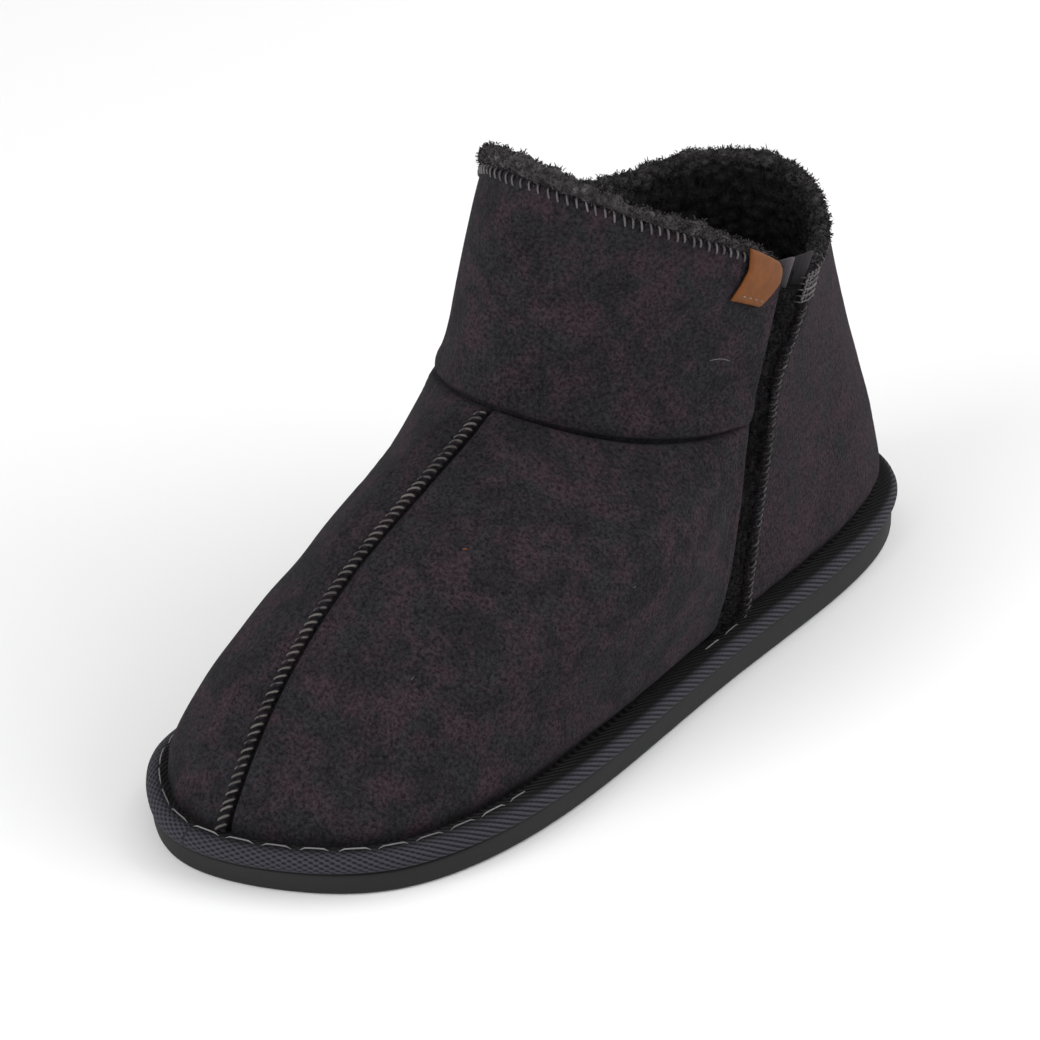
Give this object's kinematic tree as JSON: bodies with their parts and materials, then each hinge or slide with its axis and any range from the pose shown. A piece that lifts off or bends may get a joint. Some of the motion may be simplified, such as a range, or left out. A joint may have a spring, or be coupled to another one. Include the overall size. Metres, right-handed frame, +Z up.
{
  "type": "bootie slipper",
  "caption": "Left bootie slipper in dark suede with a fleece collar, raised centre seam, side slit, small leather tag, twill-bound platform and flat rubber tread.",
  "frame": {"origin": "centre of the slipper's box, on the surface that it stands on", "axes": "-Y towards the toe, +Y towards the heel, +X towards the outer side of the left foot, +Z up"},
  "size_m": [0.1102, 0.303, 0.1737],
  "materials": {
    "suede": "dark charcoal microfibre suede with a fine nap",
    "fleece": "curly grey-brown pile",
    "rubber": "matt dark grey",
    "twill": "blue-grey herringbone twill",
    "ribbon": "dark grey woven elastic",
    "leather": "tan, matt, bare"
  },
  "bodies": {
    "root": {"outsole": "rubber", "platform": "twill", "insole": "fleece", "upper": "suede", "side_gusset": "fleece", "elastic": "ribbon", "collar_front": "fleece", "collar_back": "fleece", "side_tag": "leather"}
  },
  "joints": []
}
